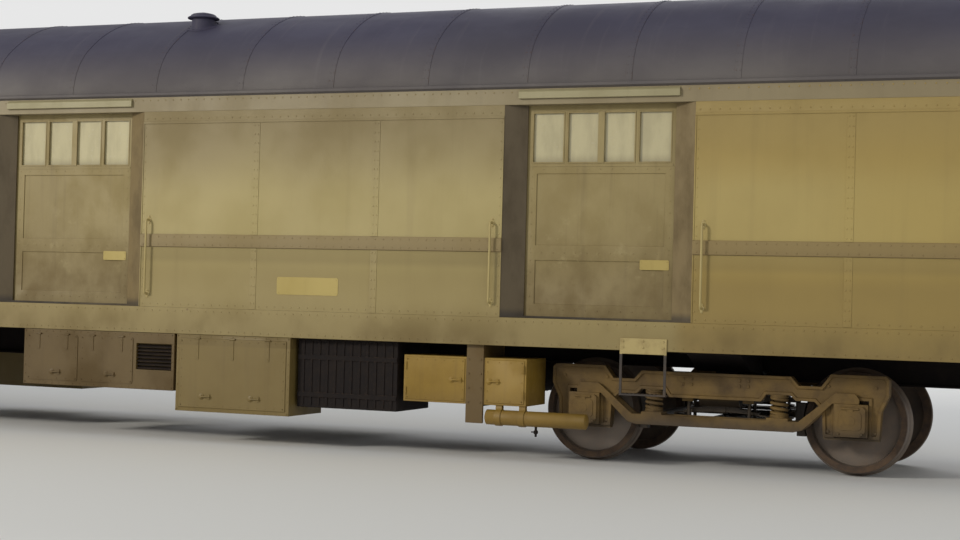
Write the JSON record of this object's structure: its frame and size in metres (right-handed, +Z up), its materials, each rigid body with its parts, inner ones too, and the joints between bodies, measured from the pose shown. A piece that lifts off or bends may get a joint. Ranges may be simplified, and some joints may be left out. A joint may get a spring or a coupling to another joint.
{
  "type": "railroad baggage car",
  "caption": "Steel passenger-train baggage car with an arched roof, recessed sliding side doors, end doors with diaphragms, underfloor boxes and equalized trucks that swivel and roll.",
  "frame": {"origin": "under the middle of the car, level with the lowest points of the wheel flanges", "axes": "+X along the car towards its right end as seen from the pictured side, +Y across it away from that side, +Z up"},
  "size_m": [19.56, 3.132, 4.4242],
  "materials": {
    "side_paint": "weathered ochre-tan paint",
    "letterboard_paint": "weathered grey-tan paint",
    "roof_paint": "matt slate paint",
    "door_paint": "weathered ochre-tan paint",
    "frame_paint": "dark brown paint",
    "bare_steel": "worn steel",
    "trim_paint": "pale yellow-tan paint",
    "box_paint": "weathered brown-ochre paint",
    "locker_paint": "weathered ochre-yellow paint",
    "underframe_paint": "matt black paint with dust",
    "coupler_steel": "rusty cast steel",
    "diaphragm_rubber": "dull black folds",
    "floor_boards": "worn boards",
    "truck_paint": "cast steel under brown dust",
    "wheel_steel": "rolled steel, bright on the tread"
  },
  "bodies": {
    "car_body": {"air_tanks": "underframe_paint", "battery_box": "box_paint", "black_case": "underframe_paint", "body_bolsters": "underframe_paint", "brake_cylinder": "underframe_paint", "centre_sill": "underframe_paint", "couplers": "coupler_steel", "crossbearers": "underframe_paint", "deep_box": "box_paint", "diaphragms": "diaphragm_rubber", "door_frames": "frame_paint", "door_rails": "bare_steel", "door_steps": "trim_paint", "end_sills": "side_paint", "end_walls": "side_paint", "face_plates": "bare_steel", "far_side_boxes": "box_paint", "floor": "floor_boards", "grab_irons": "trim_paint", "gutters": "roof_paint", "knuckles": "coupler_steel", "letterboards": "letterboard_paint", "locker_box": "locker_paint", "rain_hoods": "trim_paint", "roof": "roof_paint", "roof_vents": "roof_paint", "side_panels_far": "side_paint", "side_panels_near": "side_paint", "side_reservoir": "locker_paint", "side_sills": "side_paint", "train_pipes": "underframe_paint"},
    "truck_left": {"brake_rigging_left": "truck_paint", "equalizers_left": "truck_paint", "journal_boxes_left": "truck_paint", "truck_bolster_left": "truck_paint", "truck_frame_left": "truck_paint", "truck_springs_left": "truck_paint"},
    "truck_right": {"brake_rigging_right": "truck_paint", "equalizers_right": "truck_paint", "journal_boxes_right": "truck_paint", "truck_bolster_right": "truck_paint", "truck_frame_right": "truck_paint", "truck_springs_right": "truck_paint"},
    "door_far_left": {"door_far_left": "door_paint"},
    "door_far_middle": {"door_far_middle": "door_paint"},
    "door_far_right": {"door_far_right": "door_paint"},
    "door_near_left": {"door_near_left": "door_paint"},
    "door_near_middle": {"door_near_middle": "door_paint"},
    "door_near_right": {"door_near_right": "door_paint"},
    "end_door_left": {"end_door_left": "door_paint"},
    "end_door_right": {"end_door_right": "door_paint"},
    "wheelset_left_inner": {"wheelset_left_inner": "wheel_steel"},
    "wheelset_left_outer": {"wheelset_left_outer": "wheel_steel"},
    "wheelset_right_inner": {"wheelset_right_inner": "wheel_steel"},
    "wheelset_right_outer": {"wheelset_right_outer": "wheel_steel"}
  },
  "joints": [
    {"name": "truck_left_swivel", "type": "hinge", "parent": "car_body", "child": "truck_left", "pos_m": [-6.7, 0, 0.8326], "axis": [0, 0, 1], "range_deg": [-6, 6]},
    {"name": "wheelset_left_inner_spin", "type": "hinge", "parent": "truck_left", "child": "wheelset_left_inner", "pos_m": [-5.48, 0, 0.4826], "axis": [0, 1, 0], "continuous": true},
    {"name": "wheelset_left_outer_spin", "type": "hinge", "parent": "truck_left", "child": "wheelset_left_outer", "pos_m": [-7.92, 0, 0.4826], "axis": [0, 1, 0], "continuous": true},
    {"name": "truck_right_swivel", "type": "hinge", "parent": "car_body", "child": "truck_right", "pos_m": [6.7, 0, 0.8326], "axis": [0, 0, 1], "range_deg": [-6, 6]},
    {"name": "wheelset_right_inner_spin", "type": "hinge", "parent": "truck_right", "child": "wheelset_right_inner", "pos_m": [5.48, 0, 0.4826], "axis": [0, 1, 0], "continuous": true},
    {"name": "wheelset_right_outer_spin", "type": "hinge", "parent": "truck_right", "child": "wheelset_right_outer", "pos_m": [7.92, 0, 0.4826], "axis": [0, 1, 0], "continuous": true},
    {"name": "door_near_left_slide", "type": "slide", "parent": "car_body", "child": "door_near_left", "axis": [1, 0, 0], "range_m": [0, 1.45]},
    {"name": "door_near_middle_slide", "type": "slide", "parent": "car_body", "child": "door_near_middle", "axis": [-1, 0, 0], "range_m": [0, 1.45]},
    {"name": "door_near_right_slide", "type": "slide", "parent": "car_body", "child": "door_near_right", "axis": [-1, 0, 0], "range_m": [0, 1.45]},
    {"name": "door_far_left_slide", "type": "slide", "parent": "car_body", "child": "door_far_left", "axis": [1, 0, 0], "range_m": [0, 1.45]},
    {"name": "door_far_middle_slide", "type": "slide", "parent": "car_body", "child": "door_far_middle", "axis": [-1, 0, 0], "range_m": [0, 1.45]},
    {"name": "door_far_right_slide", "type": "slide", "parent": "car_body", "child": "door_far_right", "axis": [-1, 0, 0], "range_m": [0, 1.45]},
    {"name": "end_door_right_swing", "type": "hinge", "parent": "car_body", "child": "end_door_right", "pos_m": [9.289, 0.384, 1.3246], "axis": [0, 0, -1], "range_deg": [0, 90]},
    {"name": "end_door_left_swing", "type": "hinge", "parent": "car_body", "child": "end_door_left", "pos_m": [-9.289, 0.384, 1.3246], "axis": [0, 0, 1], "range_deg": [0, 90]}
  ]
}
